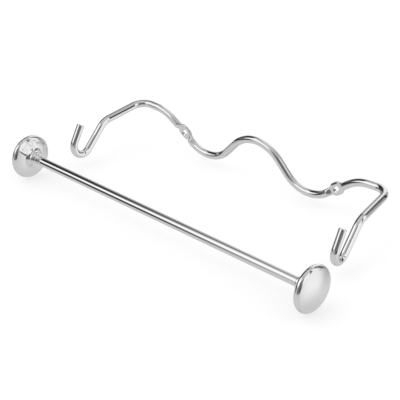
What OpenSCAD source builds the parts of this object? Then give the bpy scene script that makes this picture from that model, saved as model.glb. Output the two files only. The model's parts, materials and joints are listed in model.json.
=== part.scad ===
// Wall-mounted roll holder: one bent-wire bracket and a lift-out rod between two finials.
// +Z is up, the wall is the plane y = 0 and the room is on the -Y side.
// The origin is on the wall, midway between the two screw holes.

/* [Wave of the bracket] */
// Diameter of the bracket's wire
wire_d = 7; // [6:0.5:7.5]
// Distance between the two hooks, from the middle of one shank's foot to the other
hook_spacing = 300; // [296:1:304]
// Height of the guide corner that the central crest is rounded from
crest_z = 35; // [30:1:40]
// Distance of each trough's guide corner from the middle
trough_x = 55; // [52:1:58]
// Height of the guide corners that the two troughs are rounded from
trough_z = -24; // [-27:1:-21]
// Distance of each shoulder's guide corner from the middle
shoulder_x = 112; // [108:1:115]
// Height of the guide corners that the two shoulders are rounded from
shoulder_z = 16; // [13:1:19]
// Height of the guide corners where the arms leave the wall
corner_z = 17; // [14:1:20]
// Bend radius at the crest
crest_r = 35; // [30:1:38]
// Bend radius at the troughs
trough_r = 33; // [28:1:34]
// Bend radius at the shoulders
shoulder_r = 39; // [30:1:42]
// Bend radius where the wave turns forwards into each arm
corner_r = 13.5; // [11:0.5:16]

/* [Arms and hooks] */
// Length of each arm, between its guide corners
arm_len = 47.7; // [46:0.1:50]
// Slope of each arm below level, in degrees
arm_drop = 7; // [5:0.5:9]
// Outward splay of each arm, in degrees
arm_splay = 5.8; // [4:0.2:7]
// Bend radius between each arm and its shank
elbow_r = 17; // [14:1:20]
// Length of each shank, between its guide corners
shank_len = 38.4; // [37:0.1:40]
// Slope of each shank below level, in degrees
shank_drop = 45.4; // [44:0.2:47]
// Outward splay of each shank, in degrees
shank_splay = 2.8; // [2:0.2:3.4]
// Bend radius of each hook, to the middle of the wire
hook_r = 9.4; // [9.2:0.1:10]
// Slope of each hook's tip above level, leaning back to the wall, in degrees
tip_rise = 58.8; // [57:0.2:61]
// Inward lean of each hook's tip, in degrees
tip_splay = 1; // [0:0.5:3]
// Straight length of each hook's tip
tip_len = 17.4; // [14:0.1:18]

/* [Screw eyes] */
// Width of the flattened eye across the wire
eye_w = 12; // [11:0.5:14]
// Length of the flattened eye along the wire
eye_len = 15.5; // [15:0.5:18]
// Thickness of the wire where it is flattened
eye_t = 3.2; // [2.6:0.1:4]
// Diameter of the screw hole through each eye
screw_hole_d = 5; // [4:0.1:5.5]

/* [Rod] */
// Diameter of the rod
rod_d = 8; // [7:0.5:8]
// Distance between the rims of the two finials
rim_spacing = 338.6; // [338:0.2:342]
// Diameter of the threaded studs that join the rod and the finials
stud_d = 5; // [4:0.5:5]
// Length of each stud's half that screws into the rod
stud_grip = 10; // [8:0.5:14]
// Radial running clearance between a stud and the rod's tapped hole
thread_gap = 0.05; // [0.02:0.01:0.1]

/* [Finials] */
// Diameter of each finial at its rim
finial_d = 40.4; // [38:0.2:44]
// Height of the domed outer face above the middle of the rim
dome_h = 6; // [5.5:0.1:7]
// Radius of the rounded rim
rim_r = 3.2; // [2.6:0.1:3.6]
// Height of the rounded back below the middle of the rim, measured on the axis
back_h = 6; // [5.6:0.1:6.4]
// Diameter of the neck behind each finial
neck_d = 13; // [12:0.5:14]
// Distance from the middle of the rim to the neck's end
neck_len = 10.4; // [10:0.1:10.8]
// Diameter of the ferrule, the narrow ring that hugs the rod
ferrule_d = 11; // [10:0.5:12]
// Length of the ferrule
ferrule_len = 3; // [2.5:0.1:3.4]

/* [Place of the rod, lifted out of the hooks] */
// Distance of the rod's middle in front of the wall
rod_out = 131.2; // [130:0.1:150]
// Height of the rod's middle against the screw holes
rod_z = -3.8; // [-10:0.1:4]
// Turn of the rod about the vertical, in degrees
rod_turn = -2; // [-3:0.1:0]
// Sideways offset of the rod's middle
rod_shift = -1; // [-2:0.1:0]

/* [Hidden] */
$fn = 64;

chrome = "gainsboro";
steel = "darkgray";

LEFT = -1;
RIGHT = 1;
face_gap = 0.05;  // between faces that turn against each other
bore_gap = 0.05;  // radial, between the ferrule and the rod
lap = 0.3;  // how far each straight runs into the bends at its ends
lap_step = 0.02;  // radial step where a straight ends on a bend

wall_gap = wire_d / 2;  // middle of the wire to the wall
rim_half = rim_spacing / 2;
rod_half = rim_half - neck_len - face_gap;

// ---- Guide corners of the wire's right half, from the crest to the hook's tip ----

function unit(v) = v / norm(v);
function heading(splay, drop) =
    [sin(splay) * cos(drop), -cos(splay) * cos(drop), -sin(drop)];
function mirrored(p) = [-p.x, p.y, p.z];

arm = arm_len * heading(arm_splay, arm_drop);
shank_dir = heading(shank_splay, shank_drop);
shank = shank_len * shank_dir;
tip_dir = [-sin(tip_splay) * cos(tip_rise), cos(tip_splay) * cos(tip_rise), sin(tip_rise)];
hook_turn = acos(shank_dir * tip_dir);
hook_leg = hook_r * tan(hook_turn / 4);

crest_pt = [0, -wall_gap, crest_z];
trough_pt = [trough_x, -wall_gap, trough_z];
shoulder_pt = [shoulder_x, -wall_gap, shoulder_z];
corner_pt = [hook_spacing / 2 - arm.x - shank.x, -wall_gap, corner_z];
elbow_pt = corner_pt + arm;
foot_pt = elbow_pt + shank;
toe_pt = foot_pt + 2 * hook_leg * unit(shank_dir + tip_dir);
tip_pt = toe_pt + (hook_leg + tip_len) * tip_dir;

half_pts = [trough_pt, shoulder_pt, corner_pt, elbow_pt, foot_pt, toe_pt, tip_pt];
half_radii = [trough_r, shoulder_r, corner_r, elbow_r, hook_r, hook_r];
wire_pts = concat(
    [for (i = [len(half_pts) - 1 : -1 : 0]) mirrored(half_pts[i])],
    [crest_pt],
    half_pts);
wire_radii = concat(
    [for (i = [len(half_radii) - 1 : -1 : 0]) half_radii[i]],
    [crest_r],
    half_radii);

// ---- Bent wire: straights and true circular bends along a chain of guide corners ----

function bend_turn(i) =
    180 - acos(unit(wire_pts[i - 1] - wire_pts[i]) * unit(wire_pts[i + 1] - wire_pts[i]));
// Length of straight that bend i takes from each of its two sides
function bend_leg(i) =
    i == 0 || i == len(wire_pts) - 1 ? 0 : wire_radii[i - 1] * tan(bend_turn(i) / 2);

module placed(origin, ex, ey, ez)
    multmatrix([
        [ex.x, ey.x, ez.x, origin.x],
        [ex.y, ey.y, ez.y, origin.y],
        [ex.z, ey.z, ez.z, origin.z],
        [0, 0, 0, 1]])
        children();

module straight(p, q, ez) {
    ex = unit(cross(ez, abs(ez.z) < 0.9 ? [0, 0, 1] : [1, 0, 0]));
    placed(p - lap * ez, ex, cross(ez, ex), ez)
        cylinder(h = norm(q - p) + 2 * lap, d = wire_d);
}

module bend(i) {
    corner = wire_pts[i];
    r = wire_radii[i - 1];
    back = unit(wire_pts[i - 1] - corner);
    ahead = unit(wire_pts[i + 1] - corner);
    start = corner + back * bend_leg(i);
    centre = corner + unit(back + ahead) * r / cos(bend_turn(i) / 2);
    ex = unit(start - centre);
    placed(centre, ex, -back, cross(ex, -back))
        rotate_extrude(angle = bend_turn(i))
            translate([r, 0]) circle(d = wire_d - 2 * lap_step);
}

module bent_wire() {
    last = len(wire_pts) - 1;
    for (i = [1 : last - 1]) bend(i);
    for (i = [0 : last - 1]) {
        along = unit(wire_pts[i + 1] - wire_pts[i]);
        straight(
            wire_pts[i] + along * bend_leg(i),
            wire_pts[i + 1] - along * bend_leg(i + 1),
            along);
    }
}

// ---- Screw eyes, flattened from the wire where its slope passes z = 0 ----

slope = atan2(shoulder_z - trough_z, shoulder_x - trough_x);
eye_x = trough_x - trough_z / tan(slope);
eye_ramp = 4;  // length over which the wire runs out into the flat
eye_out = 0.3 + eye_t / 2;  // middle of the flat to the wall

// Local frame of an eye: X along the wire, Z towards the wall
module at_eye(side)
    translate([side * eye_x, -eye_out, 0])
        rotate([0, -side * slope, 0]) rotate([-90, 0, 0])
            children();

module eye_blank()
    translate([0, 0, -eye_t / 2]) linear_extrude(eye_t) union() {
        for (end = [-1, 1]) translate([end * (eye_len - eye_w) / 2, 0]) circle(d = eye_w);
        square([eye_len - eye_w, eye_w], center = true);
    }

// What the press removes from the wire on one face, down to the flat
module eye_press()
    translate([0, eye_w / 2, 0]) rotate([90, 0, 0]) linear_extrude(eye_w) polygon([
        [-eye_len / 2 + 1, eye_t / 2],
        [eye_len / 2 - 1, eye_t / 2],
        [eye_len / 2 + eye_ramp, wire_d],
        [-eye_len / 2 - eye_ramp, wire_d]]);

module wire_bracket() color(chrome) difference() {
    union() {
        difference() {
            bent_wire();
            for (side = [LEFT, RIGHT]) at_eye(side) {
                eye_press();
                mirror([0, 0, 1]) eye_press();
            }
        }
        for (side = [LEFT, RIGHT]) at_eye(side) eye_blank();
    }
    for (side = [LEFT, RIGHT])
        at_eye(side) cylinder(h = 3 * eye_t, d = screw_hole_d, center = true);
}

// ---- Rod and finials, all on the rod's own axis ----

module lifted_out()
    translate([rod_shift, -rod_out, rod_z]) rotate([0, 0, rod_turn]) children();

// Local frame of one end: the origin is in the plane of the rim, Z points away from the rod
module at_end(side)
    lifted_out() translate([side * rim_half, 0, 0]) rotate([0, side * 90, 0]) children();

module rod() color(chrome) difference() {
    hole_depth = stud_grip + 1;
    lifted_out() rotate([0, 90, 0]) cylinder(h = 2 * rod_half, d = rod_d, center = true);
    for (side = [LEFT, RIGHT])
        at_end(side)
            translate([0, 0, -neck_len - hole_depth])
                cylinder(h = hole_depth + 1, d = stud_d + 2 * thread_gap);
}

finial_hole_top = 3;
flare_r = 4.5;  // radius of the hollow curve between the rounded back and the neck

function cap_r(edge, height) = (edge * edge + height * height) / (2 * height);

module finial_profile() {
    edge = finial_d / 2 - rim_r;
    dome_r = cap_r(edge, dome_h - rim_r);
    back_r = cap_r(edge, back_h - rim_r);
    flare_x = neck_d / 2 + flare_r;
    // Where the rounded back passes over the middle of the hollow curve
    back_z = back_r - back_h - sqrt(back_r * back_r - flare_x * flare_x);
    intersection() {
        translate([0, dome_h - dome_r]) circle(r = dome_r, $fn = 360);
        translate([0, back_r - back_h]) circle(r = back_r, $fn = 360);
        translate([0, -back_h]) square([edge, back_h + dome_h]);
    }
    translate([edge, 0]) circle(r = rim_r);
    difference() {
        translate([0, -neck_len]) square([flare_x, neck_len]);
        translate([flare_x, back_z - flare_r]) circle(r = flare_r);
        translate([neck_d / 2, -neck_len - 1])
            square([flare_r + 1, neck_len + 1 + back_z - flare_r]);
    }
}

module finial(side) color(chrome) at_end(side) difference() {
    rotate_extrude() intersection() {
        finial_profile();
        translate([0, -neck_len]) square([finial_d, neck_len + dome_h]);
    }
    translate([0, 0, -neck_len - 1]) cylinder(h = neck_len + 1 + finial_hole_top, d = stud_d);
}

module stud(side) color(steel) at_end(side)
    translate([0, 0, -neck_len - stud_grip])
        cylinder(h = neck_len + stud_grip + finial_hole_top - 0.5, d = stud_d);

module ferrule(side) color(chrome) at_end(side)
    translate([0, 0, -neck_len - face_gap - ferrule_len]) difference() {
        chamfer = 0.6;
        rotate_extrude() polygon([
            [0, 0],
            [ferrule_d / 2 - chamfer, 0],
            [ferrule_d / 2, chamfer],
            [ferrule_d / 2, ferrule_len],
            [0, ferrule_len]]);
        translate([0, 0, -1]) cylinder(h = ferrule_len + 2, d = rod_d + 2 * bore_gap);
    }

module left_ferrule() ferrule(LEFT);
module left_finial() finial(LEFT);
module left_stud() stud(LEFT);
module right_ferrule() ferrule(RIGHT);
module right_finial() finial(RIGHT);
module right_stud() stud(RIGHT);

wire_bracket();
rod();
left_ferrule();
left_finial();
left_stud();
right_ferrule();
right_finial();
right_stud();
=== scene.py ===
"""Looks of a wall-mounted roll holder: a chromed bent-wire bracket and a lift-out rod between two finials.

Sizes are in millimetres and degrees, as in the CAD; the meshes are made in metres in the CAD's own frame.
+Z is up, the wall is the plane y = 0 and the room is on the -Y side.
"""

import json

import bpy
import numpy as np
from mathutils import Matrix, Vector


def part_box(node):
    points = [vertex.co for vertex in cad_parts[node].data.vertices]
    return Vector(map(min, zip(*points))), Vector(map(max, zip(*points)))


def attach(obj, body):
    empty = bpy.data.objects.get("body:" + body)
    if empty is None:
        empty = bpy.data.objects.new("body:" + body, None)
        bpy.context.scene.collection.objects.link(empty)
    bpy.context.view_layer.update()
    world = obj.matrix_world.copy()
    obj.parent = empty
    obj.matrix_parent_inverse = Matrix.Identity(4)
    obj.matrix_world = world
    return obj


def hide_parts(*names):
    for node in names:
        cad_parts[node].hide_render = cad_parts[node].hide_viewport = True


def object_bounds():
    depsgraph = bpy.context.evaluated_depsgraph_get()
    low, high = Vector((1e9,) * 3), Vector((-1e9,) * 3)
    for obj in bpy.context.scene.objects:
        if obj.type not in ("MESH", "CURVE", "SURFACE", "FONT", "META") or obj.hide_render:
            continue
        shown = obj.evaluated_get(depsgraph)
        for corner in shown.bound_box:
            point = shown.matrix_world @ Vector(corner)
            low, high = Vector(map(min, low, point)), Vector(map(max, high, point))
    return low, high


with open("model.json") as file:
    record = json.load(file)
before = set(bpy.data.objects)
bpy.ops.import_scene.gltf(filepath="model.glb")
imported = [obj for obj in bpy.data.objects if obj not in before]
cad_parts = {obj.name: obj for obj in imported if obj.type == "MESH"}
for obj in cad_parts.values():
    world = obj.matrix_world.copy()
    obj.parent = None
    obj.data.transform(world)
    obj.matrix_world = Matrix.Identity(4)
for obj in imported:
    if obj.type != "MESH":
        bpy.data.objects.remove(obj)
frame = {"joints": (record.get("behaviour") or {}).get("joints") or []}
cad_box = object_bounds()

MM = 0.001
SIDES = {"left": -1, "right": 1}

# ---- Sizes of the bracket, the same as the CAD's ----

WIRE_R = 3.5
HOOK_SPACING = 300
CREST_Z = 35
TROUGH = (55, -24)
SHOULDER = (112, 16)
CORNER_Z = 17
CREST_BEND, TROUGH_BEND, SHOULDER_BEND, CORNER_BEND = 35, 33, 39, 13.5
ARM_LEN, ARM_DROP, ARM_SPLAY = 47.7, 7, 5.8
ELBOW_BEND = 17
SHANK_LEN, SHANK_DROP, SHANK_SPLAY = 38.4, 45.4, 2.8
HOOK_BEND = 9.4
TIP_RISE, TIP_SPLAY, TIP_LEN = 58.8, 1, 17.4

EYE_W, EYE_LEN, EYE_T = 12, 15.5, 3.2
EYE_BACK = 0.3  # from the wall to the back of the flat
SCREW_HOLE_R = 2.5

# ---- Finer shape of the bracket ----

TIP_ROUND = 0.6  # rounding of the cut ends
HOLE_CHAMFER = 0.9
EYE_CREASE = 0.8  # how softly the eye's outline meets the wire's side
EYE_TAIL = 4  # length over which that outline dies away into the wire
EYE_SQUARE = 3.2  # squareness of the flat's section, where 2 is round
# Where the flat swells to the wire's thickness, and where its section turns round, from the eye's end.
SWELL = (-1.9, 2.9)
ROUND_OFF = (-3.5, 2.5)

WIRE_POINTS = 48  # around the wire
EYE_STEP, WIRE_STEP = 0.35, 0.9  # between rings of points, near an eye and elsewhere
EYE_REACH = 14  # how far from an eye's middle the closer rings go

# ---- Sizes of the rod and its ends ----

ROD_R = 4
RIM_HALF = 169.3  # from the rod's middle to the plane of each rim
NECK_LEN = 10.4
FACE_GAP = 0.05
ROD_HALF = RIM_HALF - NECK_LEN - FACE_GAP
ROD_EDGE = 0.4
TAP_R, TAP_DEPTH, TAP_POINT, TAP_CHAMFER = 2.55, 11, 1.2, 0.5

FINIAL_R = 20.2
DOME_H = 6
RIM_R = 3.2
BACK_H = 6  # how far the rounded back stands behind the rim's plane, measured on the axis
NECK_R, NECK_EDGE = 6.5, 0.45
FLARE_R = 4.5
FINIAL_HOLE_R, FINIAL_HOLE_TOP, FINIAL_HOLE_POINT, FINIAL_HOLE_CHAMFER = 2.5, 3, 0.4, 0.5

FERRULE_R, FERRULE_LEN, FERRULE_BORE_R = 5.5, 3, 4.05
FERRULE_ROLL, FERRULE_EDGE = 0.7, 0.25  # rounding of the shoulder towards the rod, and of the other edges

STUD_R, STUD_GRIP = 2.5, 10
STUD_GAP, STUD_TOP_GAP = 0.02, 0.5  # around the stud in the finial's hole, and between its end and the hole's
STUD_POINT, STUD_CHAMFER = 0.8, 0.5  # chamfers at the threaded end and at the end in the finial
STUD_PLAIN = 1  # from here on, measured from the neck's end into the finial, the stud is plain
THREAD_PITCH, THREAD_DEPTH = 0.8, 0.42
THREAD_FLAT = 0.12  # width of the thread's crest and of its root, in pitches
THREAD_FADE = (-0.6, 0.4)  # where the thread runs out, measured from the neck's end
THREAD_STEP = 0.08  # between rings of points


# ---- Small vector helpers ----


def vec(*v):
    return np.array(v, float)


def unit(v):
    return v / np.linalg.norm(v)


def heading(splay, drop):
    """Direction that leads away from the wall, splayed outwards and dropping, in degrees."""
    s, d = np.radians([splay, drop])
    return vec(np.sin(s) * np.cos(d), -np.cos(s) * np.cos(d), -np.sin(d))


def smoothstep(x, lo, hi):
    t = np.clip((x - lo) / (hi - lo), 0, 1)
    return t * t * (3 - 2 * t)


def circle_about(axis, points):
    """Directions of evenly spaced points around an axis, and their angles."""
    side = unit(np.cross(axis, vec(0, 0, 1)))
    up = np.cross(side, axis)
    angle = np.linspace(0, 2 * np.pi, points, endpoint=False)
    return np.outer(np.cos(angle), side) + np.outer(np.sin(angle), up), angle


# ---- Mesh building ----


def mesh_object(name, rows, uv, closed_rows=False):
    """A surface over rows of points: each row is a closed ring, or one point where the surface is closed.

    closed_rows joins the last row to the first. uv gives each row its length along the surface.
    """
    verts, start = [], []
    for row in rows:
        start.append(len(verts))
        verts.extend(np.atleast_2d(row) * MM)
    counts = [len(np.atleast_2d(row)) for row in rows]
    around = max(counts)
    faces, coords = [], []
    pairs = [(i, i + 1) for i in range(len(rows) - 1)]
    if closed_rows:
        pairs.append((len(rows) - 1, 0))
    for a, b in pairs:
        ua = uv[a]
        ub = uv[b] if b > a else ua + 1
        for j in range(around):
            k = (j + 1) % around
            va, vb = j / around, (j + 1) / around
            if counts[a] == 1:
                face = (start[a], start[b] + j, start[b] + k)
                uvs = ((ua, va), (ub, va), (ub, vb))
            elif counts[b] == 1:
                face = (start[a] + j, start[b], start[a] + k)
                uvs = ((ua, va), (ub, va), (ua, vb))
            else:
                face = (start[a] + j, start[b] + j, start[b] + k, start[a] + k)
                uvs = ((ua, va), (ub, va), (ub, vb), (ua, vb))
            faces.append(face)
            coords.extend(uvs)
    mesh = bpy.data.meshes.new(name)
    mesh.from_pydata([tuple(v) for v in verts], [], faces)
    layer = mesh.uv_layers.new(name="surface")
    layer.data.foreach_set("uv", np.array(coords, np.float32).ravel())
    mesh.validate()
    obj = bpy.data.objects.new(name, mesh)
    bpy.context.scene.collection.objects.link(obj)
    return obj


def shade(obj, sharp_angle):
    mesh = obj.data
    mesh.polygons.foreach_set("use_smooth", [True] * len(mesh.polygons))
    mesh.set_sharp_from_angle(angle=np.radians(sharp_angle))
    mesh.update()


def turned(name, profile, origin, axis, segments, closed=False):
    """A body of revolution: profile is a list of (radius, distance along the axis)."""
    axis = unit(axis)
    ring, _ = circle_about(axis, segments)
    rows, lengths, run, last = [], [], 0.0, None
    for r, z in profile:
        centre = origin + axis * z
        rows.append(centre if r < 1e-6 else centre + ring * r)
        if last is not None:
            run += float(np.hypot(r - last[0], z - last[1]))
        lengths.append(run)
        last = (r, z)
    return mesh_object(name, rows, lengths, closed_rows=closed)


def arc(centre, radius, start, end, steps):
    """Points of a profile's arc; angles in degrees from the radial direction towards the axis direction."""
    a = np.radians(np.linspace(start, end, steps))
    return [(centre[0] + radius * np.cos(t), centre[1] + radius * np.sin(t)) for t in a]


def spaced(p, q, steps):
    """Points of a profile's straight line, from p up to but without q."""
    return [(p[0] + (q[0] - p[0]) * t, p[1] + (q[1] - p[1]) * t) for t in np.arange(steps) / steps]


# ---- The bracket's wire ----


def guide_corners():
    """Corners that the wire's centre line is rounded from, and the bend radius at each inner one."""
    arm = ARM_LEN * heading(ARM_SPLAY, ARM_DROP)
    shank_dir = heading(SHANK_SPLAY, SHANK_DROP)
    shank = SHANK_LEN * shank_dir
    tip_dir = -heading(TIP_SPLAY, TIP_RISE)
    hook_turn = np.arccos(shank_dir @ tip_dir)
    hook_leg = HOOK_BEND * np.tan(hook_turn / 4)
    corner = vec(HOOK_SPACING / 2 - arm[0] - shank[0], -WIRE_R, CORNER_Z)
    foot = corner + arm + shank
    toe = foot + 2 * hook_leg * unit(shank_dir + tip_dir)
    half = [
        vec(TROUGH[0], -WIRE_R, TROUGH[1]),
        vec(SHOULDER[0], -WIRE_R, SHOULDER[1]),
        corner,
        corner + arm,
        foot,
        toe,
        toe + (hook_leg + TIP_LEN) * tip_dir,
    ]
    radii = [TROUGH_BEND, SHOULDER_BEND, CORNER_BEND, ELBOW_BEND, HOOK_BEND, HOOK_BEND]
    mirrored = [p * vec(-1, 1, 1) for p in half[::-1]]
    return mirrored + [vec(0, -WIRE_R, CREST_Z)] + half, radii[::-1] + [CREST_BEND] + radii


def rounded(corners, radii, arc_steps=90):
    """The centre line, of straights and true circular bends, and the length along it up to each point."""
    line = [corners[0]]
    for before, corner, after, r in zip(corners, corners[1:], corners[2:], radii):
        back, ahead = unit(before - corner), unit(after - corner)
        turn = np.pi - np.arccos(back @ ahead)
        start = corner + back * r * np.tan(turn / 2)
        centre = corner + unit(back + ahead) * r / np.cos(turn / 2)
        ex = unit(start - centre)
        for a in np.linspace(0, turn, arc_steps):
            line.append(centre + r * (np.cos(a) * ex - np.sin(a) * back))
    line.append(corners[-1])
    line = np.array(line)
    steps = np.linalg.norm(np.diff(line, axis=0), axis=1)
    line = line[np.r_[True, steps > 1e-6]]
    run = np.r_[0, np.cumsum(np.linalg.norm(np.diff(line, axis=0), axis=1))]
    return line, run


def eye_x():
    """X of the right screw hole, where the wave's slope passes z = 0."""
    return TROUGH[0] - TROUGH[1] * (SHOULDER[0] - TROUGH[0]) / (SHOULDER[1] - TROUGH[1])


def eye_places(line, run):
    """The length along the wire up to the middle of each eye."""
    places = []
    # Only the wave on the wall is searched, not the arms that stand off it.
    off_wall = line[:, 1] < -WIRE_R - 0.01
    for x in (-eye_x(), eye_x()):
        i = int(np.argmin(np.abs(line[:, 0] - x) + 1e3 * off_wall))
        j = i + 1 if (line[i + 1, 0] - x) * (line[i, 0] - x) < 0 else i - 1
        t = (x - line[i, 0]) / (line[j, 0] - line[i, 0])
        places.append(run[i] + (run[j] - run[i]) * t)
    return places


def section(width, thick, power, n):
    """A closed superellipse of n points evenly spaced along its outline, starting on the thickness axis."""
    t = np.linspace(0, 2 * np.pi, 1441)
    c, s = np.cos(t), np.sin(t)
    e = 2 / power
    x = thick * np.sign(c) * np.abs(c) ** e
    y = width * np.sign(s) * np.abs(s) ** e
    run = np.r_[0, np.cumsum(np.hypot(np.diff(x), np.diff(y)))]
    at = np.linspace(0, run[-1], n, endpoint=False)
    return np.interp(at, run, x), np.interp(at, run, y)


def eye_shape(u):
    """Half width, half thickness, shift to the wall and squareness of the wire, at u from an eye's middle."""
    end_r = EYE_W / 2
    flat = (EYE_LEN - EYE_W) / 2
    oval = end_r * np.sqrt(1 - np.clip((u - flat) / end_r, 0, 1) ** 2)
    wide = 0.5 * (oval + WIRE_R + np.sqrt((oval - WIRE_R) ** 2 + EYE_CREASE**2))
    wide = WIRE_R + (wide - WIRE_R) * (1 - smoothstep(u, flat + end_r, flat + end_r + EYE_TAIL))
    end = EYE_LEN / 2
    out = smoothstep(u, end + SWELL[0], end + SWELL[1])
    thick = EYE_T / 2 + (WIRE_R - EYE_T / 2) * out
    shift = (WIRE_R - EYE_BACK - EYE_T / 2) * (1 - out)
    power = EYE_SQUARE - (EYE_SQUARE - 2) * smoothstep(u, end + ROUND_OFF[0], end + ROUND_OFF[1])
    return min(wide, end_r), thick, shift, power


def wire_stations(total, eyes):
    """Lengths along the wire where its rings stand, and how much smaller each ring is at the rounded ends."""
    stations = [0.0]
    while stations[-1] < total:
        near = min(abs(stations[-1] - e) for e in eyes)
        stations.append(stations[-1] + (EYE_STEP if near < EYE_REACH else WIRE_STEP))
    inner = np.array([s for s in stations if TIP_ROUND < s < total - TIP_ROUND])
    lean = np.radians(np.linspace(90, 0, 7))
    first = TIP_ROUND * (1 - np.sin(lean))
    shrink = TIP_ROUND * (1 - np.cos(lean))
    stations = np.concatenate([first, inner, total - first[::-1]])
    smaller = np.concatenate([shrink, np.zeros(len(inner)), shrink[::-1]])
    return stations, smaller


def carried_normals(tangent):
    """A normal at each station, carried without twist from the crest, where it points to the wall."""
    normal = np.zeros_like(tangent)
    mid = len(tangent) // 2
    normal[mid] = (0, 1, 0)
    for order in (range(mid + 1, len(tangent)), range(mid - 1, -1, -1)):
        last = normal[mid]
        for i in order:
            last = unit(last - (last @ tangent[i]) * tangent[i])
            normal[i] = last
    return normal


def bent_wire():
    line, run = rounded(*guide_corners())
    eyes = eye_places(line, run)
    total = run[-1]

    def along(s):
        return np.stack([np.interp(s, run, line[:, i]) for i in range(3)], 1)

    stations, smaller = wire_stations(total, eyes)
    centre = along(stations)
    step = 0.25
    tangent = along(stations + step) - along(stations - step)
    tangent /= np.linalg.norm(tangent, axis=1)[:, None]
    rows = []
    for s, c, t, n, less in zip(stations, centre, tangent, carried_normals(tangent), smaller):
        wide, thick, shift, power = eye_shape(min(abs(s - e) for e in eyes))
        x, y = section(wide - less, thick - less, power, WIRE_POINTS)
        rows.append(c + n * shift + np.outer(x, n) + np.outer(y, np.cross(t, n)))
    rows = [rows[0].mean(0)] + rows + [rows[-1].mean(0)]
    return mesh_object("bracket_wire", rows, [0.0, *stations, total])


def cut(obj, cutters):
    """Takes the cutters out of obj's mesh."""
    for c in cutters:
        m = obj.modifiers.new(c.name, "BOOLEAN")
        m.operation, m.solver, m.object = "DIFFERENCE", "EXACT", c
    graph = bpy.context.evaluated_depsgraph_get()
    mesh = bpy.data.meshes.new_from_object(obj.evaluated_get(graph))
    obj.modifiers.clear()
    obj.data = mesh
    for c in cutters:
        bpy.data.objects.remove(c)


def screw_hole_cutter(side):
    """A drill with a small countersink at both faces of the eye."""
    half, over = EYE_T / 2, 2
    cone = [(SCREW_HOLE_R + HOLE_CHAMFER + over, half + over), (SCREW_HOLE_R, half - HOLE_CHAMFER)]
    front = [(0, half + over)] + cone
    profile = [(r, -z) for r, z in front] + front[::-1]
    middle = vec(eye_x() * side, -EYE_BACK - half, 0)
    return turned(f"drill_{side}", profile, middle, vec(0, -1, 0), segments=64)


# ---- Rod, finials, ferrules and studs, on the rod's own axis ----

draws = [j for j in frame["joints"] if j["name"].endswith("_draw")]
out_axis = {j["child"].split("_")[0]: unit(vec(*j["axis"])) for j in draws}
low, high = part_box("rod")
rod_middle = np.array((low + high) / 2) / MM


def cap(height):
    """Radius, centre depth and edge angle of a spherical cap that runs smoothly into the rim's roll."""
    edge, rise = FINIAL_R - RIM_R, height - RIM_R
    # The roll touches the cap from inside, so the distance between their centres is the radii's difference.
    depth = (edge**2 - rise**2) / (2 * rise)
    return rise + depth + RIM_R, depth, np.degrees(np.arctan2(edge, depth))


def finial_profile():
    """From the dome's middle over the rim and the rounded back to the neck, and up the hole for the stud."""
    edge = FINIAL_R - RIM_R
    dome_r, dome_depth, dome_lean = cap(DOME_H)
    back_r, back_depth, back_lean = cap(BACK_H)
    profile = [(0.0, DOME_H)]
    profile += arc((0, -dome_depth), dome_r, 90 - dome_lean / 24, 90 - dome_lean, 24)
    profile += arc((edge, 0), RIM_R, 90 - dome_lean, back_lean - 90, 22)[1:]
    # The hollow curve runs smoothly out of the rounded back and down into the neck.
    flare_x, reach = NECK_R + FLARE_R, back_r + FLARE_R
    flare_z = back_depth - np.sqrt(reach**2 - flare_x**2)
    lean = np.degrees(np.arcsin(flare_x / reach))
    profile += arc((0, back_depth), back_r, back_lean - 90, lean - 90, 26)[1:]
    profile += arc((flare_x, flare_z), FLARE_R, 90 + lean, 180, 18)[1:]
    profile += arc((NECK_R - NECK_EDGE, NECK_EDGE - NECK_LEN), NECK_EDGE, 0, -90, 8)
    profile += [(FINIAL_HOLE_R + FINIAL_HOLE_CHAMFER, -NECK_LEN)]
    profile += [(FINIAL_HOLE_R, FINIAL_HOLE_CHAMFER - NECK_LEN)]
    profile += [(FINIAL_HOLE_R, FINIAL_HOLE_TOP - FINIAL_HOLE_POINT), (0, FINIAL_HOLE_TOP)]
    return profile


def rod_profile():
    """From the drilled point of one tapped hole, out over its end and along the rod, to that of the other."""
    bottom, mouth = (TAP_R, ROD_HALF - TAP_DEPTH), (TAP_R, ROD_HALF - TAP_CHAMFER)
    end = [(0, ROD_HALF - TAP_DEPTH - TAP_POINT)]
    end += spaced(bottom, mouth, 6)
    end += [mouth, (TAP_R + TAP_CHAMFER, ROD_HALF)]
    end += arc((ROD_R - ROD_EDGE, ROD_HALF - ROD_EDGE), ROD_EDGE, 90, 0, 6)
    other = [(r, -z) for r, z in end]
    body = spaced((ROD_R, ROD_EDGE - ROD_HALF), (ROD_R, ROD_HALF - ROD_EDGE), 80)[1:]
    return other + body + end[::-1]


def ferrule_profile():
    """A ring with rounded edges, from -FERRULE_LEN to 0."""
    r, b, n = FERRULE_R, FERRULE_BORE_R, FERRULE_LEN
    roll, small = FERRULE_ROLL, FERRULE_EDGE
    profile = arc((r - roll, -n + roll), roll, -90, 0, 8)
    profile += [(r, -n / 2)]
    profile += arc((r - small, -small), small, 0, 90, 5)
    profile += arc((b + small, -small), small, 90, 180, 5)
    profile += [(b, -n / 2)]
    profile += arc((b + small, -n + small), small, 180, 270, 5)
    return profile


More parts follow.
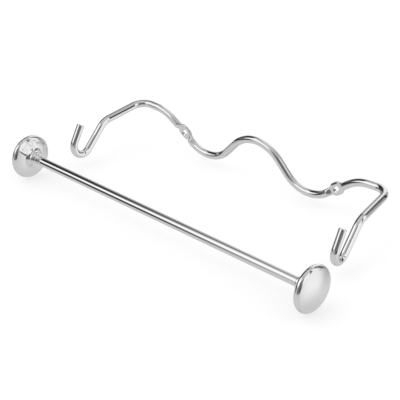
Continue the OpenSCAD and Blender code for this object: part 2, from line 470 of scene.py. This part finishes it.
def threaded_stud(name, origin, axis):
    """A stud with a real helical thread on the half that screws into the rod."""
    axis = unit(axis)
    ring, angle = circle_about(axis, 48)
    bottom, top = -NECK_LEN - STUD_GRIP, FINIAL_HOLE_TOP - STUD_TOP_GAP
    plain = -NECK_LEN + STUD_PLAIN
    heights = np.r_[np.arange(bottom, plain, THREAD_STEP), np.linspace(plain, top, 6)]
    rows = [origin + axis * bottom]
    for z in heights:
        phase = ((z - bottom) / THREAD_PITCH - angle / (2 * np.pi)) % 1
        groove = np.clip((np.abs(2 * phase - 1) - THREAD_FLAT) / (1 - 2 * THREAD_FLAT), 0, 1)
        fade = 1 - smoothstep(z, THREAD_FADE[0] - NECK_LEN, THREAD_FADE[1] - NECK_LEN)
        r = STUD_R - STUD_GAP - THREAD_DEPTH * groove * fade
        r = np.minimum(r, STUD_R - STUD_POINT + (z - bottom))
        r = np.minimum(r, STUD_R - STUD_CHAMFER + (top - z))
        rows.append(origin + axis * z + ring * r[:, None])
    rows.append(origin + axis * top)
    return mesh_object(name, rows, [bottom, *heights, top])


# ---- Materials ----


class Nodes:
    """Shorthand for building a node tree."""

    def __init__(self, tree):
        self.tree = tree
        tree.nodes.clear()

    def add(self, kind, inputs=None, **props):
        node = self.tree.nodes.new(kind)
        for key, value in props.items():
            setattr(node, key, value)
        for key, value in (inputs or {}).items():
            if isinstance(value, bpy.types.NodeSocket):
                self.tree.links.new(value, node.inputs[key])
            else:
                node.inputs[key].default_value = value
        return node

    def math(self, op, a, b=0.0, clamp=False):
        return self.add("ShaderNodeMath", {0: a, 1: b}, operation=op, use_clamp=clamp).outputs[0]

    def ramp(self, value, lo, hi, out_lo, out_hi):
        inputs = {"Value": value, "From Min": lo, "From Max": hi, "To Min": out_lo, "To Max": out_hi}
        return self.add("ShaderNodeMapRange", inputs, interpolation_type="SMOOTHSTEP").outputs[0]

    def noise(self, vector, scale, detail, rough=0.5):
        inputs = {"Vector": vector, "Scale": scale, "Detail": detail, "Roughness": rough}
        return self.add("ShaderNodeTexNoise", inputs).outputs[0]


# Patches of noise per metre: broad clouds in the plating, small specks and the finest grain.
CLOUD_SCALE, SPECK_SCALE, GRAIN_SCALE = 70.0, 420.0, 1400.0
SPECK_ROUGHNESS, WEAR_ROUGHNESS = 0.10, 0.14
SPECK_DULLNESS, WEAR_DULLNESS = 0.35, 0.5
DULL_TONE = 0.82  # how bright dull plating is, against the bright plating
BUMP_STRENGTH, BUMP_DEPTH = 0.05, 0.04  # the depth is in millimetres


def plated(name, colour, gloss, along, around):
    """Polished plating: clouded gloss, fine polishing lines, small specks and duller, slightly worn edges.

    gloss is the middle roughness. along and around set how the polishing lines run: patches of noise per
    millimetre along the surface, and per turn around it.
    """
    mat = bpy.data.materials.new(name)
    mat.use_nodes = True
    n = Nodes(mat.node_tree)
    solid = n.add("ShaderNodeTexCoord").outputs["Object"]
    surface = n.add("ShaderNodeUVMap", uv_map="surface").outputs[0]
    stretch = {0: surface, 1: (along, around, 1)}
    stretched = n.add("ShaderNodeVectorMath", stretch, operation="MULTIPLY").outputs[0]
    lines = n.noise(stretched, 1.0, 3.0, 0.6)
    cloud = n.noise(solid, CLOUD_SCALE, 5.0, 0.55)
    grain = n.noise(solid, GRAIN_SCALE, 2.0)
    speck = n.ramp(n.noise(solid, SPECK_SCALE, 3.0, 0.7), 0.66, 0.78, 0.0, 1.0)
    pointy = n.add("ShaderNodeNewGeometry").outputs["Pointiness"]
    edge = n.ramp(pointy, 0.53, 0.62, 0.0, 1.0)
    worn = n.math("MULTIPLY", edge, n.ramp(cloud, 0.4, 0.65, 0.2, 1.0))

    rough = n.ramp(cloud, 0.3, 0.7, gloss * 0.55, gloss * 1.5)
    rough = n.math("ADD", rough, n.ramp(lines, 0.45, 0.75, 0.0, gloss * 0.9))
    rough = n.math("ADD", rough, n.math("MULTIPLY", speck, SPECK_ROUGHNESS))
    rough = n.math("ADD", rough, n.math("MULTIPLY", worn, WEAR_ROUGHNESS), clamp=True)

    dull = n.math("MULTIPLY", worn, WEAR_DULLNESS)
    dull = n.math("ADD", dull, n.math("MULTIPLY", speck, SPECK_DULLNESS), clamp=True)
    tones = {"Factor": dull, "A": (*colour, 1), "B": (*[c * DULL_TONE for c in colour], 1)}
    tone = n.add("ShaderNodeMix", tones, data_type="RGBA").outputs["Result"]

    relief = n.math("ADD", n.math("MULTIPLY", lines, 0.6), n.math("MULTIPLY", grain, 0.25))
    relief = n.math("ADD", relief, n.math("MULTIPLY", cloud, 0.5))
    bumps = {"Height": relief, "Strength": BUMP_STRENGTH, "Distance": BUMP_DEPTH * MM}
    bump = n.add("ShaderNodeBump", bumps).outputs[0]
    metal = {"Base Color": tone, "Metallic": 1.0, "Roughness": rough, "Normal": bump}
    shader = n.add("ShaderNodeBsdfPrincipled", metal)
    n.add("ShaderNodeOutputMaterial", {"Surface": shader.outputs[0]})
    return mat


MATERIALS = {
    "wire_chrome": plated("wire_chrome", (0.93, 0.93, 0.94), gloss=0.05, along=0.35, around=26),
    "rod_chrome": plated("rod_chrome", (0.93, 0.93, 0.94), gloss=0.045, along=0.05, around=40),
    "finial_chrome": plated("finial_chrome", (0.95, 0.95, 0.955), gloss=0.1, along=3.2, around=2),
    "stud_steel": plated("stud_steel", (0.62, 0.62, 0.63), gloss=0.16, along=2.5, around=20),
}


def finish_piece(obj, body, node, slot, sharp_angle=40):
    """Gives a piece its material, and lets it ride on its body in the CAD node's stead."""
    shade(obj, sharp_angle)
    obj.data.materials.clear()
    obj.data.materials.append(MATERIALS[slot])
    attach(obj, body)
    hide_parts(node)


# ---- The object ----

wire = bent_wire()
cut(wire, [screw_hole_cutter(side) for side in SIDES.values()])
finish_piece(wire, "bracket", "wire_bracket", "wire_chrome")

rod = turned("rod_bar", rod_profile(), rod_middle, out_axis["right"], segments=96)
finish_piece(rod, "rod", "rod", "rod_chrome")

for name in SIDES:
    axis = out_axis[name]
    rim = rod_middle + axis * RIM_HALF
    finial = turned(f"{name}_finial_cap", finial_profile(), rim, axis, segments=192)
    finish_piece(finial, f"{name}_finial", f"{name}_finial", "finial_chrome")
    stud = threaded_stud(f"{name}_threaded_stud", rim, axis)
    finish_piece(stud, f"{name}_finial", f"{name}_stud", "stud_steel", sharp_angle=60)
    ring_at = rim - axis * (NECK_LEN + FACE_GAP)
    ring = turned(f"{name}_ferrule_ring", ferrule_profile(), ring_at, axis, segments=128, closed=True)
    finish_piece(ring, f"{name}_ferrule", f"{name}_ferrule", "finial_chrome")


# ---- Floor, light and camera ----

FLOOR_HALF = 4000
FLOOR_GAP = 1.0
FLOOR_TONES = (0.955, 0.97)
FLOOR_GLOW, FLOOR_GLOW_SHARE = 1.04, 0.6  # the sheet is lit from beneath, so shadows on it stay faint


def pale_floor():
    z = cad_box[0].z - FLOOR_GAP * MM
    half = FLOOR_HALF * MM
    corners = [(-half, -half, z), (half, -half, z), (half, half, z), (-half, half, z)]
    mesh = bpy.data.meshes.new("floor")
    mesh.from_pydata(corners, [], [(0, 1, 2, 3)])
    obj = bpy.data.objects.new("floor", mesh)
    bpy.context.scene.collection.objects.link(obj)
    mat = bpy.data.materials.new("pale_floor")
    mat.use_nodes = True
    n = Nodes(mat.node_tree)
    spot = n.noise(n.add("ShaderNodeTexCoord").outputs["Object"], 6.0, 3.0)
    tone = n.ramp(spot, 0.3, 0.7, *FLOOR_TONES)
    colour = n.add("ShaderNodeCombineColor", {"Red": tone, "Green": tone, "Blue": tone}).outputs[0]
    matt = n.add("ShaderNodeBsdfDiffuse", {"Color": colour}).outputs[0]
    glow = n.add("ShaderNodeEmission", {"Color": colour, "Strength": FLOOR_GLOW}).outputs[0]
    shader = n.add("ShaderNodeMixShader", {0: FLOOR_GLOW_SHARE, 1: matt, 2: glow}).outputs[0]
    n.add("ShaderNodeOutputMaterial", {"Surface": shader})
    mesh.materials.append(mat)
    obj.visible_glossy = False


# The studio as the chrome sees it: soft boxes and black cards around the object, later ones covering earlier.
# Each has its bearings and its heights in degrees, from and to, then its softness and its brightness.
# Bearing 0 is the room in front of the wall, 90 is +X and 180 is behind the wall. A panel that reaches 180 is
# given past it, so that it has no soft edge there.
OPEN_ROOM = 0.45  # brightness where nothing stands
CRISP, SOFT, FADING = 2, 5, 15  # how far an edge blurs to each side, in degrees
BRIGHT, WHITE, GREY, SHADE, DIM, BLACK = 1.05, 0.9, 0.6, 0.4, 0.15, 0.03
ALL_ROUND = (-180, 180)
PANELS = {
    "table top": (ALL_ROUND, (-80, 0), SOFT, GREY),
    "ceiling": (ALL_ROUND, (70, 90), SOFT, GREY),
    "sweep behind the right end": ((100, 200), (-35, 0), FADING, WHITE),
    "high soft box, front left": ((-85, 0), (20, 55), SOFT, BRIGHT),
    "soft box behind the wall": ((-200, -145), (0, 55), SOFT, WHITE),
    "high card, left": ((-130, -70), (15, 50), SOFT, BLACK),
    "low card, left": ((-110, -40), (-5, 15), SOFT, BLACK),
    "strip light, front right": ((0, 100), (15, 30), SOFT, WHITE),
    "soft box, right": ((55, 90), (10, 45), SOFT, BRIGHT),
    "dark side around the camera": ((0, 70), (-10, 45), CRISP, DIM),
    "soft box, far right": ((85, 145), (-5, 50), CRISP, WHITE),
    "narrow card, far right": ((110, 120), (5, 50), CRISP, BLACK),
    "shade low behind": ((145, 200), (-30, 15), FADING, SHADE),
    "card behind the right end": ((140, 160), (-10, 45), SOFT, BLACK),
    "low card, front left": ((-55, -40), (-15, 10), SOFT, BLACK),
    "low card, right": ((55, 85), (-15, 5), SOFT, BLACK),
}


def inside(n, value, bounds, soft):
    """A mask: 1 where value is within bounds, with edges blurred by soft to each side."""
    low, high = bounds
    rising = n.ramp(value, low - soft, low + soft, 0, 1)
    return n.math("MULTIPLY", rising, n.ramp(value, high - soft, high + soft, 1, 0))


def studio():
    world = bpy.data.worlds.new("studio")
    bpy.context.scene.world = world
    world.use_nodes = True
    n = Nodes(world.node_tree)
    direction = n.add("ShaderNodeTexCoord").outputs["Generated"]
    x, y, z = n.add("ShaderNodeSeparateXYZ", {0: direction}).outputs
    bearing = n.math("MULTIPLY", n.math("ARCTAN2", x, n.math("MULTIPLY", y, -1.0)), 180 / np.pi)
    height = n.math("MULTIPLY", n.math("ARCSINE", z), 180 / np.pi)
    value = OPEN_ROOM
    for bearings, heights, soft, bright in PANELS.values():
        mask = inside(n, height, heights, soft)
        if bearings != ALL_ROUND:
            mask = n.math("MULTIPLY", inside(n, bearing, bearings, soft), mask)
        layers = {"Factor": mask, "A": value, "B": bright}
        value = n.add("ShaderNodeMix", layers, data_type="FLOAT").outputs["Result"]
    path = n.add("ShaderNodeLightPath").outputs
    plain = n.add("ShaderNodeBackground", {"Color": (1, 1, 1, 1), "Strength": 1.0}).outputs[0]
    panels = n.add("ShaderNodeBackground", {"Color": (1, 1, 1, 1), "Strength": value}).outputs[0]
    seen = n.add("ShaderNodeMixShader", {0: path["Is Glossy Ray"], 1: plain, 2: panels}).outputs[0]
    n.add("ShaderNodeOutputWorld", {"Surface": seen})


OVERHEAD_AT = (-0.5, -0.9, 1.6)  # metres
OVERHEAD_SIZE, OVERHEAD_WATTS = 1.6, 6.0


def soft_light():
    """A broad lamp for the floor's faint shadows; the chrome doesn't mirror it."""
    data = bpy.data.lights.new("overhead", "AREA")
    data.shape, data.size, data.energy = "DISK", OVERHEAD_SIZE, OVERHEAD_WATTS
    obj = bpy.data.objects.new("overhead", data)
    obj.location = OVERHEAD_AT
    obj.rotation_mode = "QUATERNION"
    obj.rotation_quaternion = (-obj.location).to_track_quat("-Z", "Y")
    obj.visible_glossy = False
    bpy.context.scene.collection.objects.link(obj)


CAMERA_AIM = (-18, -60.4, -24)  # the point in the middle of the picture
CAMERA_DISTANCE = 1140
CAMERA_BEARING, CAMERA_HEIGHT, CAMERA_ROLL = 43.3, 28.5, -1.7  # bearings are as for the studio
CAMERA_LENS, CAMERA_SENSOR = 115.2, 36


def camera():
    data = bpy.data.cameras.new("camera")
    data.sensor_width, data.lens = CAMERA_SENSOR, CAMERA_LENS
    data.clip_start, data.clip_end = 0.01, 20
    obj = bpy.data.objects.new("camera", data)
    turn = Matrix.Rotation(np.radians(CAMERA_BEARING), 4, "Z")
    turn @= Matrix.Rotation(np.radians(90 - CAMERA_HEIGHT), 4, "X")
    turn @= Matrix.Rotation(np.radians(CAMERA_ROLL), 4, "Z")
    back_off = Matrix.Translation((0, 0, CAMERA_DISTANCE * MM))
    obj.matrix_world = Matrix.Translation(Vector(CAMERA_AIM) * MM) @ turn @ back_off
    bpy.context.scene.collection.objects.link(obj)
    bpy.context.scene.camera = obj


pale_floor()
studio()
soft_light()
camera()
bpy.context.scene.view_settings.view_transform = "Standard"
